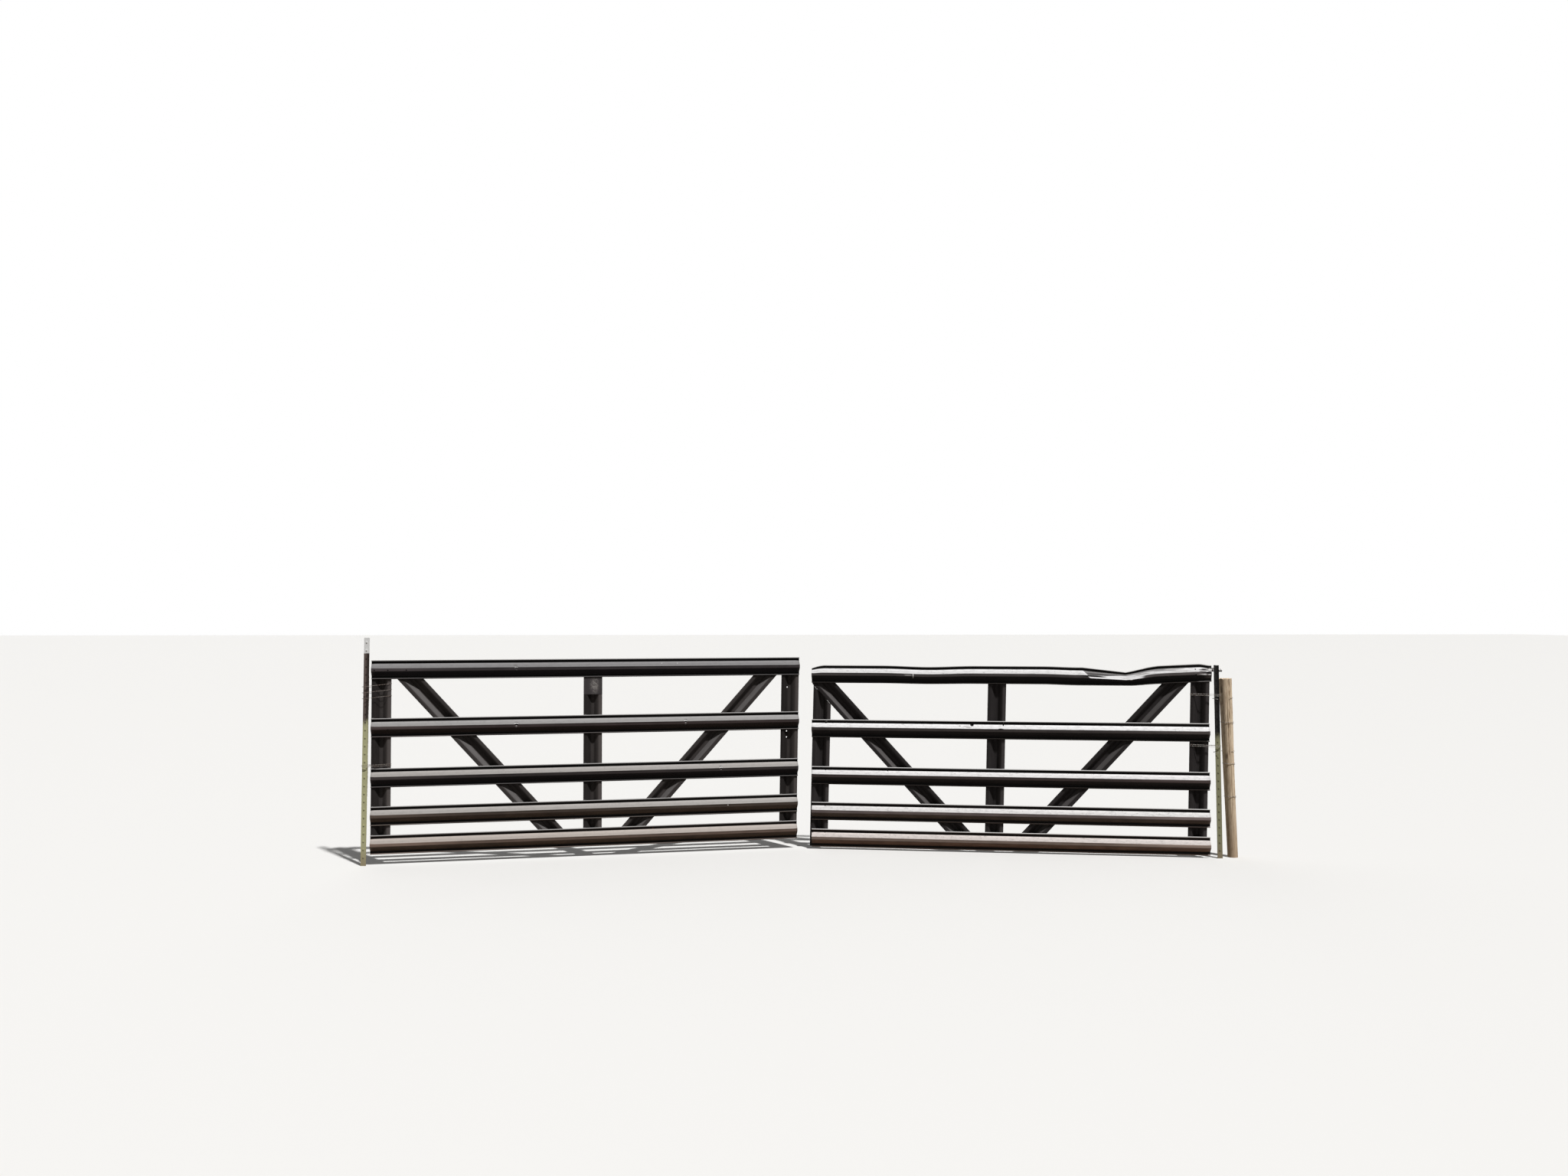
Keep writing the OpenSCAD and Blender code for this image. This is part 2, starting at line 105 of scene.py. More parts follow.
def skin(name, grid, **values):
    """Closed skin over a grid of rings, or over several such grids. Its ends are strips that
    join point j to its mirror place in the ring. Values are vectors kept at the points."""
    k, m, n = grid.shape[:3] if grid.ndim == 4 else (1, *grid.shape[:2])
    points = grid.reshape(-1, 3)
    i, j = np.meshgrid(np.arange(m - 1), np.arange(n), indexing="ij")
    a, b = i * n + j, i * n + (j + 1) % n
    j = np.arange(n // 2 - 1)
    end = np.stack([j, n - 1 - j, n - 2 - j, j + 1], -1)
    faces = np.concatenate([np.stack([a, b, b + n, a + n], -1).reshape(-1, 4),
                            end, end[:, ::-1] + (m - 1) * n])
    faces = (faces + m * n * np.arange(k)[:, None, None]).reshape(-1, 4)
    p, q, r, t = (points[faces[:, k]] for k in range(4))
    if np.sum(p * np.cross(q, r)) + np.sum(p * np.cross(r, t)) < 0:
        faces = faces[:, ::-1]
    mesh = bpy.data.meshes.new(name)
    mesh.vertices.add(len(points))
    mesh.vertices.foreach_set("co", points.astype(np.float32).ravel())
    mesh.loops.add(faces.size)
    mesh.loops.foreach_set("vertex_index", faces.astype(np.int32).ravel())
    mesh.polygons.add(len(faces))
    mesh.polygons.foreach_set("loop_start", np.arange(0, faces.size, 4, dtype=np.int32))
    mesh.polygons.foreach_set("use_smooth", np.ones(len(faces), bool))
    mesh.update(calc_edges=True)
    mesh.set_sharp_from_angle(angle=math.radians(50))
    up = np.zeros(len(points) * 3, np.float32)
    mesh.vertex_normals.foreach_get("vector", up)
    values["normal_up"] = np.repeat(up.reshape(-1, 3)[:, 2:], 3, 1)
    for key, value in values.items():
        store = mesh.attributes.new(key, "FLOAT_VECTOR", "POINT")
        store.data.foreach_set("vector", np.asarray(value, np.float32).ravel())
    piece = bpy.data.objects.new(name, mesh)
    bpy.context.scene.collection.objects.link(piece)
    return piece


def member(name, side, start, along, across, depth, cuts, stations, seed, shape=None,
           step=0.02):
    """Rolled member as a closed skin over the grid (station, place round the outline).

    A point is start + u * along + v * across, with v and the depth from the outline, and depth
    is -1 for a crown towards the viewer and 1 for one to the rear. u runs between the cuts, rows
    (a, b, c) that keep a * s + b * z <= c, so the ends follow them. Away from its edges the
    sheet waves by 1.2 mm at most, always to the inside."""
    ring = outline(step)
    v = ring[:, 0]
    base = np.asarray(start) + v[:, None] * np.asarray(across)
    low, high = np.full(len(ring), -far), np.full(len(ring), far)
    for a, b, c in cuts:
        rate = a * along[0] + b * along[1]
        reach = (c - base @ [a, b]) / rate
        if rate > 0:
            high = np.minimum(high, reach)
        else:
            low = np.maximum(low, reach)
    u = low + np.asarray(stations)[:, None] * (high - low)
    v = np.broadcast_to(v, u.shape)
    wave = np.sin(9 * u + seed) + np.sin(23 * u + 40 * v + 2.3 * seed) + np.sin(51 * u - 90 * v)
    flat = np.clip((0.058 - abs(v)) / 0.02, 0, 1)
    w = ring[:, 1] - 0.0002 * (3 + wave) * flat * np.clip(ring[:, 1] / 0.02, 0, 1)
    s, z = base[:, 0] + u * along[0], base[:, 1] + u * along[1]
    y = depth * w
    if shape is not None:
        s, y, z = shape(u, v, s, y, z, ring[:, 2])
    sheet = np.stack([u, v, np.full(u.shape, float(seed))], -1)
    face = np.stack([np.broadcast_to(ring[:, 2], u.shape)] * 3, -1)
    return skin(name, leaf(side, s, y, z), sheet=sheet, face=face)


class Value:
    """One output of a material's nodes. Arithmetic on it adds Math nodes behind it."""

    def __init__(self, tree, socket):
        self.tree, self.socket = tree, socket

    def node(self, kind, values=(), out=0, **settings):
        """Any other node of the same material, from its type, its inputs and its settings."""
        made = self.tree.nodes.new("ShaderNode" + kind)
        for key, value in settings.items():
            setattr(made, key, value)
        for key, value in dict(values).items():
            if isinstance(value, Value):
                self.tree.links.new(value.socket, made.inputs[key])
            else:
                made.inputs[key].default_value = value
        return Value(self.tree, made.outputs[out])

    def math(self, operation, *values):
        return self.node("Math", enumerate(values), operation=operation)

    def __add__(self, other):
        return self.math("ADD", self, other)

    def __sub__(self, other):
        return self.math("SUBTRACT", self, other)

    def __rsub__(self, other):
        return self.math("SUBTRACT", other, self)

    def __mul__(self, other):
        return self.math("MULTIPLY", self, other)

    def __truediv__(self, other):
        return self.math("DIVIDE", self, other)

    def __rtruediv__(self, other):
        return self.math("DIVIDE", other, self)

    __radd__, __rmul__ = __add__, __mul__

    def part(self, axis):
        """One coordinate of a vector."""
        return self.node("SeparateXYZ", {0: self}, out="XYZ".index(axis))

    def times(self, x, y, z):
        """The vector with each coordinate scaled on its own."""
        return self.node("VectorMath", {0: self, 1: (x, y, z)}, operation="MULTIPLY")

    def rise(self, low, high):
        """0 at low, 1 at high and a smooth step between them."""
        return self.node("MapRange", {"Value": self, "From Min": low, "From Max": high},
                         interpolation_type="SMOOTHSTEP")

    def grain(self, scale, detail=3, roughness=0.55):
        """Cloudy noise over this vector, from 0 to 1."""
        return self.node("TexNoise", {"Vector": self, "Scale": scale, "Detail": detail,
                                      "Roughness": roughness})

    def between(self, first, second):
        """Colour between two, with this value as the share of the second."""
        ends = {6: first, 7: second}
        ends = {k: c if isinstance(c, Value) else (*c, 1) for k, c in ends.items()}
        return self.node("Mix", {0: self, **ends}, out=2, data_type="RGBA")


def finish(name, **fixed):
    """New material and a value to start its nodes from. Fixed values go on its own sockets."""
    made = bpy.data.materials.new(name)
    made.use_nodes = True
    shader = made.node_tree.nodes["Principled BSDF"]
    for key, value in fixed.items():
        shader.inputs[key.replace("_", " ")].default_value = value
    return made, Value(made.node_tree, shader.outputs[0])


def shade(colour, share):
    """The colour made darker or lighter."""
    return tuple(share * c for c in colour)


def feed(made, **values):
    """Links values to the material's shader."""
    shader = made.node_tree.nodes["Principled BSDF"]
    for key, value in values.items():
        made.node_tree.links.new(value.socket, shader.inputs[key.replace("_", " ")])


def sheet_paint(name, slope_chalk_and_highlight, haze, under, bead_rub_and_highlight=None, specks=0.3, marks=(), holes=(), bleached=(),
                rim=0.0415, lit_flank=0, deep=0.0):
    """Black paint on sheet: on slopes that face the sky a pale colour, chalky dust with a painted
    highlight, up to the place rim across the member and painted brightest there, a haze on upright
    faces that is palest on the crown's lower half, the colour under on what faces down, which is
    painted shade and on the lowest rails also painted light from the ground, flats beside the beads
    painted near black as the shadow of the beads and the crown, and beads rubbed paler with a
    painted highlight.

    Marks are lenses along the member, rows (u, v, half length, half width, bow, colour): painted
    shadows in dents, notches and creases, painted highlights on their edges, and pale spots and
    streaks. Holes are rows (u, v, radius). Bleached holds the limits of v between which the sheet
    keeps its pale slope colour whichever way it was bent. On an upright the flank where v has the
    sign given is painted paler, a painted highlight, and the other flank darker by the share deep,
    painted shade."""
    made, start = finish(name, Specular_IOR_Level=0.06, Coat_Roughness=0.35)
    sheet = start.node("Attribute", out=1, attribute_name="sheet")
    up = start.node("Attribute", out=1, attribute_name="normal_up").part("X")
    u, v = sheet.part("X"), sheet.part("Y")
    band = v.math("ABSOLUTE", v)
    streaks = sheet.times(2.2, 190, 1).grain(1, 4)
    patches = sheet.times(9, 24, 1).grain(1, 5, 0.6)
    clouds = sheet.times(26, 110, 1).grain(1, 3, 0.5)
    blots = sheet.times(62, 95, 1).grain(1, 5, 0.6)
    fine = sheet.times(260, 330, 1).grain(1, 3, 0.6)
    tone = patches * 0.5 + streaks * 0.5
    crown = v.rise(0.010, -0.007) if bead_rub_and_highlight else 0.7
    low_tone = shade(haze, 0.42)
    colour = (tone.rise(0.3, 0.7) * 0.45 + crown * 0.55).between(low_tone, shade(haze, 1.3))
    if bead_rub_and_highlight:
        colour = (u.rise(0.75, 0.15) * 0.38).between(colour, shade(haze, 2.6))
        # Flats beside the beads painted near black: the painted shadow of the beads and the crown.
        bead_shadow = band.rise(rim - 0.003, rim) * band.rise(0.059, 0.056)
        colour = bead_shadow.between(colour, shade(haze, 0.06))
    # One flank painted paler, a painted highlight, and the other darker by the share deep, painted
    # shade.
    if lit_flank:
        colour = (v.rise(-0.004 * lit_flank, -0.020 * lit_flank) * deep).between(
            colour, shade(haze, 0.2))
        colour = (v.rise(0.012 * lit_flank, 0.044 * lit_flank) * 0.6).between(
            colour, shade(haze, 2.6))
    # Faces turned down painted in the colour under: painted shade, with painted light from the
    # ground on the lowest rails.
    colour = up.rise(-0.33, -0.66).between(colour, tone.rise(0.3, 0.7).between(
        shade(under, 0.6), shade(under, 1.3)))
    # Bead tops rubbed paler where they face up: worn paint with a painted highlight.
    if bead_rub_and_highlight:
        rubbed = band.rise(0.0560, 0.0575) * up.rise(-0.5, 0.15) * v.rise(-0.1, 0.02)
        colour = (rubbed * tone.rise(0.0, 0.4)).between(colour, bead_rub_and_highlight)
    # Slopes painted brightest towards their upper edge: a painted highlight.
    slope_highlight = v.rise(0.022, 0.036) * 0.55 + v.rise(0.019, 0.010) * 0.2
    white = (streaks * 0.35 + slope_highlight).between(shade(slope_chalk_and_highlight, 0.90), shade(slope_chalk_and_highlight, 1.28))
    white = (clouds.rise(0.45, 0.72) * specks * 0.8).between(white, shade(slope_chalk_and_highlight, 0.55))
    blotch = blots.rise(0.56, 0.72) * specks + fine.rise(0.62, 0.75) * specks * 0.6
    white = blotch.between(white, shade(slope_chalk_and_highlight, 0.42))
    # Slopes that face up take the pale slope colour: chalky dust with a painted highlight.
    chalk_and_highlight = up.rise(0.30, 0.58) * band.rise(rim + 0.0015, rim - 0.0005)
    if bleached:
        thin = v.rise(bleached[0] - 0.001, bleached[0]) * v.rise(bleached[1] + 0.001, bleached[1])
        chalk_and_highlight = chalk_and_highlight.math("MAXIMUM", chalk_and_highlight, thin * streaks.rise(0.2, 0.8) * 0.62)
    colour = chalk_and_highlight.between(colour, white)
    # Marks painted over the sheet: painted shadows in dents and notches, painted highlights on
    # their edges, and spots and streaks.
    for at_u, at_v, half_long, half_wide, bow, tint in marks:
        q = (u - at_u) / half_long
        r = (v - at_v - bow * (1 - q * q)) / half_wide
        ragged = q * q + r * r + 0.7 * (fine - 0.5)
        colour = ragged.rise(1.1, 0.4).between(colour, tint)
    bump = start.node("Bump", {"Height": blots + patches, "Distance": 0.0005, "Strength": 0.4})
    feed(made, Base_Color=colour, Roughness=0.45 + 0.22 * chalk_and_highlight + 0.15 * (patches - 0.5),
         Normal=bump, Coat_Weight=up.rise(0.2, 0.6) * 0.12)
    if holes:
        clear = None
        for at_u, at_v, radius in holes:
            off_u, off_v = u - at_u, v - at_v
            apart = off_u * off_u + off_v * off_v
            edge = apart.math("GREATER_THAN", apart, radius ** 2)
            clear = edge if clear is None else clear * edge
        feed(made, Alpha=clear)
    return made


def dented(dents):
    """Shape of a rail with dents, rows (u, v, half length, half width, depth): blunt cones
    pressed in from the front, where the distance from (u, v) is under 1 in those units."""
    def shape(u, v, s, y, z, face):
        for at_u, at_v, half_long, half_wide, depth in dents:
            away = np.hypot((u - at_u) / half_long, (v - at_v) / half_wide)
            y = y + depth * np.clip(1 - away, 0, 1) ** 1.3
        return s, y, z
    return shape


def stops(length, spots=(), step=0.020):
    """Stations from 0 to 1 along a member, closer together near the spots, in metres."""
    plain = np.linspace(0, length, int(length / step) + 1)
    close = [np.linspace(p - 0.026, p + 0.026, 21) for p in spots]
    near = np.concatenate([plain, *close]) / length
    return np.unique(np.round(np.clip(near, 0, 1), 5))


leaf_long, leaf_high, left_hang, left_lean = 2.985, 1.320, 0.033, 0.9
rail_z = [1.190, 0.794, 0.453, 0.194, 0.0]
rail_names = ["top", "second", "third", "fourth", "bottom"]
left_rack = math.tan(math.radians(left_lean))
white, grey, dark = (0.85, 0.84, 0.83), (0.16, 0.15, 0.15), (0.008, 0.006, 0.006)
left_dents = {
    "top": [(0.964, 0.006, 0.016, 0.013, 0.007)],
    "second": [(0.966, 0.007, 0.021, 0.016, 0.009), (2.148, 0.007, 0.019, 0.015, 0.008)],
    "third": [(2.404, 0.008, 0.015, 0.013, 0.007)],
    "fourth": [], "bottom": [],
}
# Left marks: dark and grey lenses are painted shadow in the dents, white ones painted highlights on
# the dents' upper edges, besides small pale spots and a rust spot.
left_marks = {
    "top": [(0.957, 0.024, 0.017, 0.005, 0, grey), (0.964, 0.007, 0.014, 0.0026, 0.004, white),
            (0.964, 0.003, 0.011, 0.004, 0, dark), (0.967, -0.009, 0.006, 0.0022, 0, grey),
            (1.977, 0.030, 0.003, 0.002, 0, white), (2.089, 0.029, 0.003, 0.002, 0, white)],
    "second": [(0.966, 0.023, 0.014, 0.004, 0, grey), (0.966, 0.009, 0.018, 0.003, 0.008, white),
               (0.966, 0.006, 0.014, 0.006, 0.002, dark), (0.966, -0.010, 0.006, 0.003, 0, grey),
               (2.148, 0.022, 0.013, 0.004, 0, grey), (2.148, 0.009, 0.016, 0.003, 0.006, white),
               (2.148, 0.006, 0.012, 0.005, 0.002, dark), (2.148, -0.010, 0.006, 0.003, 0, grey),
               (0.112, -0.011, 0.009, 0.003, 0, dark)],
    "third": [(2.404, 0.009, 0.014, 0.003, 0.006, white), (2.404, 0.006, 0.009, 0.005, 0.002, dark),
              (2.400, 0.022, 0.010, 0.004, 0, grey)],
    "fourth": [(2.454, 0.003, 0.005, 0.003, 0, white)],
    "bottom": [(1.917, 0.047, 0.006, 0.004, 0, (0.20, 0.085, 0.04))],
}
# Rows per rail: the slope colour (chalky dust with a painted highlight), the haze, and the colour
# of faces turned down, a painted shade that on the lowest rails also holds painted light from the
# ground and sand dust.
left_coats = {
    "top": ((0.235, 0.228, 0.230), (0.056, 0.048, 0.050), (0.008, 0.006, 0.007)),
    "second": ((0.325, 0.315, 0.310), (0.058, 0.044, 0.043), (0.026, 0.017, 0.014)),
    "third": ((0.370, 0.348, 0.332), (0.046, 0.038, 0.038), (0.009, 0.006, 0.006)),
    "fourth": ((0.380, 0.358, 0.340), (0.082, 0.062, 0.051), (0.110, 0.078, 0.058)),
    "bottom": ((0.435, 0.385, 0.350), (0.168, 0.119, 0.096), (0.120, 0.080, 0.056)),
}
for place, z in zip(rail_names, rail_z):
    length = leaf_long - (leaf_high - member_half - z) * left_rack
    dents = left_dents[place]
    rail = member(f"left_{place}_rail_sheet", "left", (left_hang, z + member_half), (1, 0),
                  (0, 1), -1, [(-1, 0, -left_hang), (1, 0, left_hang + length)],
                  stops(length, [d[0] for d in dents], 0.03), seed=3 + 7 * z,
                  shape=dented(dents), step=0.004)
    slope_chalk_and_highlight, haze, under = left_coats[place]
    holes = [(u, -0.003, 0.0042) for u in (0.021, 0.110, 0.230)] if place == "top" else ()
    rail.data.materials.append(sheet_paint(
        f"left_{place}_rail_paint", slope_chalk_and_highlight, haze, under, bead_rub_and_highlight=(0.36, 0.35, 0.345), specks=0.25,
        marks=left_marks[place], holes=holes))
    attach(rail, "left_leaf")
    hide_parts(f"left_{place}_rail")


# Left leaf's uprights and braces: the same rolled section with its open side to the viewer,
# cut level behind the top and bottom rails. The braces meet the uprights edge to edge.
def tilted(angle):
    """Directions along and across a member that leans by an angle towards the free end."""
    a = math.radians(angle)
    return (math.sin(a), math.cos(a)), (math.cos(a), -math.sin(a))


inset, brace_inset, weld_gap = 0.005, 0.020, 0.0006
left_hinge, left_middle = left_hang + member_half, left_hang + leaf_long / 2
left_free = left_hang + leaf_long - member_half - leaf_high / 2 * left_rack
left_slope_chalk_and_highlight, left_haze, frame_underside_shade = (0.19, 0.18, 0.178), (0.060, 0.053, 0.051), (0.010, 0.008, 0.008)
left_frame_paint = sheet_paint("left_frame_paint", left_slope_chalk_and_highlight, left_haze, frame_underside_shade, specks=0.2)
left_upright_paint = sheet_paint("left_upright_paint", left_slope_chalk_and_highlight, left_haze, frame_underside_shade, specks=0.2,
                                 lit_flank=1, deep=0.6)
left_free_paint = sheet_paint("left_free_upright_paint", left_slope_chalk_and_highlight, (0.050, 0.044, 0.042),
                              frame_underside_shade, specks=0.2, lit_flank=1, deep=0.6,
                              holes=[(u, -0.017, 0.005) for u in (0.44, 0.12, 0.076)])
level = [(0, -1, -inset), (0, 1, leaf_high - inset)]
for part, middle, lean in [("hinge", left_hinge, 0), ("middle", left_middle, 0),
                           ("free", left_free, left_lean)]:
    along, across = tilted(lean)
    upright = member(f"left_{part}_upright_sheet", "left", (middle, leaf_high / 2), along,
                     across, 1, level, stops(leaf_high), seed=11 + middle)
    upright.data.materials.append(left_free_paint if part == "free" else left_upright_paint)
    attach(upright, "left_leaf")
    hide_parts(f"left_{part}_upright")

brace_long, brace_end, left_foot = 1.6, 0.2545, 0.292
foot_high = 2 * member_half
weld_side = member_half + weld_gap


def brace_slope(foot):
    """Lean in degrees of a brace whose foot, on the bottom rail, is that far from the middle."""
    return math.degrees(math.atan((leaf_long / 2 - brace_end - foot) / (rail_z[0] - foot_high)))


left_slope = brace_slope(left_foot)
brace_level = [(0, -1, -brace_inset), (0, 1, leaf_high - brace_inset)]
lean = math.radians(left_lean)
free_side = (math.cos(lean), -math.sin(lean),
             left_free * math.cos(lean) - leaf_high / 2 * math.sin(lean) - weld_side)
for part, hand, limit in [("hinge", -1, [(-1, 0, -left_hinge - weld_side), (1, 0, left_middle)]),
                          ("free", 1, [(-1, 0, -left_middle), free_side])]:
    along, across = tilted(hand * left_slope)
    brace = member(f"left_{part}_brace_sheet", "left",
                   (left_middle + hand * left_foot, foot_high), along, across, 1,
                   brace_level + limit, stops(brace_long), seed=17 + hand)
    brace.data.materials.append(left_frame_paint)
    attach(brace, "left_leaf")
    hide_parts(f"left_{part}_brace")


# Right leaf's rails: the same sheet, its slopes painted almost white, chalky dust with a painted
# highlight. A blow near the hinge has creased the top rail and bent its end up. The free end is
# curled back.
right_trim, sawn_off, right_hang, right_lean = 0.012, 0.170, 0.050, 1.4
right_long = leaf_long - right_trim - sawn_off
bleached_slope = (0.0095, 0.0415)


def smooth(x):
    """3 x^2 - 2 x^3, with x held between 0 and 1."""
    x = np.clip(x, 0, 1)
    return x * x * (3 - 2 * x)


def crushed(u, v, s, y, z, face):
    """Top rail's form, all in places u along it. A tent-shaped crease at 571 mm fades towards
    340 and 870 mm, and there the slope is upright above a knee, with one plane from the knee to
    the crown's lower fold, all from a slanting line on. The end before 450 mm is bent up, the
    length beyond it sags to 1150 mm and dips at 1960 mm. The first 75 mm are pressed flat round
    two hollows, and the free end's upper edge is curled back."""
    crease_near, crease_at, crease_far, crease_drop = 0.340, 0.571, 0.870, 0.034
    bend_at, bend_rise, curl_long, behind = 0.450, 0.025, 0.092, 0.0017
    up = (v + member_half) / (2 * member_half)
    near = (np.clip(u - crease_near, 0, None) / (crease_at - crease_near)) ** 1.4
    crease = np.minimum(np.clip(crease_far - u, 0, None) / (crease_far - crease_at), near)
    begun = smooth((0.842 + 1.1 * (v - 0.010) - u) / 0.012) * smooth((u - 0.385) / 0.110)
    knee = np.interp(u, [0.38, 0.44, 0.55, 0.62, 0.70, 0.78], [41, 28, 28, 24, 14, 11]) / 1000
    shelf = bead_wide / 2
    plane = shelf + (member_deep - shelf) * (knee - v) / (knee + crown_half)
    plane = np.where(v > knee, shelf - 0.003 * (v - knee) / (bleached_slope[1] - knee), plane)
    inside = (v > -crown_half) & (v < slope_end)
    plane = np.where(inside, np.minimum(plane, member_deep) - behind * (face < 0), -y)
    y = y + begun * (-plane - y)
    lift = bend_rise * np.clip(1 - u / bend_at, 0, None) ** 0.8
    sag = 0.006 * smooth((u - 0.430) / 0.110) * smooth((1.150 - u) / 0.250)
    dip = 0.004 * (1 + 1.2 * up) * smooth(1 - abs(u - 1.960) / 0.330)
    press = smooth((0.075 - u) / 0.092)
    curl = (np.clip(u - right_long + curl_long, 0, None) / curl_long) ** 1.5 * up ** 3
    y = y * (1 - 0.6 * press - 0.5 * curl)
    for at_u, at_v, half_long, half_wide, depth in [(0.036, 0.021, 0.036, 0.013, 0.008),
                                                    (0.030, 0.001, 0.050, 0.012, 0.007)]:
        away = np.hypot((u - at_u) / half_long, (v - at_v) / half_wide)
        y = y + depth * np.clip(1 - away, 0, 1) ** 1.3 * np.clip((u + 0.02) / 0.03, 0.4, 1)
    z = z + lift - sag - dip - crease_drop * crease * up - 0.024 * curl - 0.014 * press * up
    return s, y, z


right_dents = {
    "second": [(1.648, 0.036, 0.017, 0.014, 0.007), (2.700, 0.042, 0.010, 0.006, 0.003)],
    "third": [(2.703, 0.042, 0.006, 0.006, 0.003), (2.252, 0.042, 0.006, 0.006, 0.003)],
    "fourth": [(2.706, 0.042, 0.009, 0.006, 0.003)],
    "bottom": [(2.708, 0.042, 0.006, 0.006, 0.003), (2.797, 0.042, 0.006, 0.006, 0.003)],
}
wear_and_highlight, soft, dim = (0.45, 0.43, 0.42), (0.28, 0.27, 0.27), (0.05, 0.045, 0.048)
# Right marks: dark and dim lenses are painted shade in dents, notches, the crease and the pressed
# end, white and paler ones painted highlights on their edges and ridges, besides streaks and
# scratches.
right_marks = {
    "top": [(2.067, -0.004, 0.0045, 0.020, 0, white), (2.103, -0.001, 0.032, 0.004, 0, wear_and_highlight),
            (0.790, 0.006, 0.095, 0.007, 0, dark), (0.576, 0.004, 0.036, 0.0026, 0.001, wear_and_highlight),
            (0.370, 0.035, 0.110, 0.006, 0, soft), (0.300, 0.026, 0.095, 0.003, 0.002, soft),
            (0.235, 0.034, 0.080, 0.004, 0, wear_and_highlight), (0.455, 0.020, 0.060, 0.005, 0.002, wear_and_highlight),
            (0.200, 0.019, 0.090, 0.003, 0.001, wear_and_highlight), (0.534, -0.013, 0.012, 0.004, 0.002, white),
            (0.044, 0.025, 0.031, 0.004, 0.002, dim), (0.044, 0.016, 0.031, 0.007, -0.001, soft),
            (0.020, 0.005, 0.040, 0.005, 0, dim), (0.002, 0.006, 0.024, 0.010, 0, dark),
            (0.052, -0.013, 0.044, 0.003, 0.003, white), (-0.004, -0.008, 0.013, 0.005, 0, white),
            (-0.006, 0.030, 0.013, 0.008, 0, white), (0.095, 0.001, 0.007, 0.004, 0, grey)],
    "second": [(1.672, 0.023, 0.028, 0.003, -0.006, wear_and_highlight), (1.648, 0.038, 0.015, 0.013, 0, dark),
               (1.690, 0.031, 0.028, 0.002, -0.004, wear_and_highlight), (1.735, 0.029, 0.010, 0.004, 0, wear_and_highlight),
               (1.426, 0.038, 0.006, 0.008, 0, dark),
               (1.424, 0.053, 0.004, 0.003, 0, wear_and_highlight), (1.445, 0.009, 0.024, 0.005, 0.001, dark),
               (2.700, 0.041, 0.011, 0.005, 0, dark), (2.695, 0.052, 0.008, 0.003, 0.001, wear_and_highlight)],
    "third": [(2.703, 0.041, 0.005, 0.006, 0, dark), (2.252, 0.041, 0.005, 0.006, 0, dark)],
    "fourth": [(2.706, 0.041, 0.009, 0.005, 0, dark)],
    "bottom": [(2.708, 0.041, 0.005, 0.005, 0, dark), (2.797, 0.041, 0.006, 0.006, 0, dark)],
}
# Rows per rail as on the left leaf: slopes painted near white, chalky dust with a painted
# highlight, and faces turned down painted as shade, paler on the lowest rails with painted light
# from the ground and sand dust.
right_coats = {
    "top": ((0.78, 0.77, 0.77), (0.090, 0.080, 0.080), (0.010, 0.008, 0.008)),
    "second": ((0.88, 0.87, 0.87), (0.070, 0.060, 0.058), (0.018, 0.014, 0.013)),
    "third": ((0.82, 0.80, 0.80), (0.071, 0.054, 0.052), (0.020, 0.015, 0.013)),
    "fourth": ((0.76, 0.74, 0.73), (0.190, 0.152, 0.146), (0.130, 0.095, 0.075)),
    "bottom": ((0.68, 0.62, 0.59), (0.270, 0.205, 0.172), (0.300, 0.180, 0.130)),
}
for place, z in zip(rail_names, rail_z):
    top = place == "top"
    dents = [] if top else right_dents[place]
    first = -0.017 if top else 0.0
    spots = [*np.arange(-0.01, 0.92, 0.05), 2.067, 2.76] if top else [d[0] for d in dents]
    rail = member(f"right_{place}_rail_sheet", "right", (right_hang, z + member_half), (1, 0),
                  (0, 1), -1, [(-1, 0, -right_hang - first), (1, 0, right_hang + right_long)],
                  stops(right_long - first, [p - first for p in spots], 0.03),
                  seed=5 + 9 * z, shape=crushed if top else dented(dents), step=0.004)
    slope_chalk_and_highlight, haze, under = right_coats[place]
    rail.data.materials.append(sheet_paint(
        f"right_{place}_rail_paint", slope_chalk_and_highlight, haze, under, bead_rub_and_highlight=(0.60, 0.59, 0.58), specks=0.55,
        marks=right_marks[place], bleached=bleached_slope if top else (), rim=0.0385,
        holes=[(0.095, 0.028, 0.004), (0.093, -0.010, 0.005)] if top else ()))
    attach(rail, "right_leaf")
    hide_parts(f"right_{place}_rail")


# Strip torn out of that rail's upper slope: it leaves the rail's end, bends back and passes
# behind the steel post. It bulges away from the post, and forward at its loose end. Its upper
# half is painted near white, chalky dust with a painted highlight, and its lower half dark, a
# painted shade.
x = np.linspace(0, 1, 44)[:, None]
reach = [0, 0.17, 0.28, 0.42, 0.6, 0.8, 1]
place, depth, height, wide = (np.interp(x, reach, np.array(row) / 1000) for row in (
    [16, -4, -16, -28, -48, -71, -94], [8, 7, -6, -24, -31, -29, -24],
    [111, 111, 110, 109, 108, 107, 105], [24, 27, 27, 26, 25, 24, 21]))
for row in (place, depth, height, wide):
    row[1:-1] = (row[:-2] + row[1:-1] + row[2:]) / 3
    row[1:-1] = (row[:-2] + row[1:-1] + row[2:]) / 3
a = np.linspace(-1, 1, 13)
across = np.concatenate([a, a[::-1]])[None, :] + 0 * x
face = np.concatenate([0 * a + 1, 0 * a - 1])[None, :] + 0 * x
cup = 0.0035 * (1 - across ** 2) + 0.0006 * (1 + np.sin(9 * x + 2 * across))
cup += 0.0014 * (1 + np.sin(40 * x + 3 * across)) * smooth(4 * x - 2.4)
along = np.gradient(place[:, 0])
turned = np.gradient(depth[:, 0])
size = np.hypot(along, turned)
out_s, out_d = (-turned / size)[:, None], (along / size)[:, None]
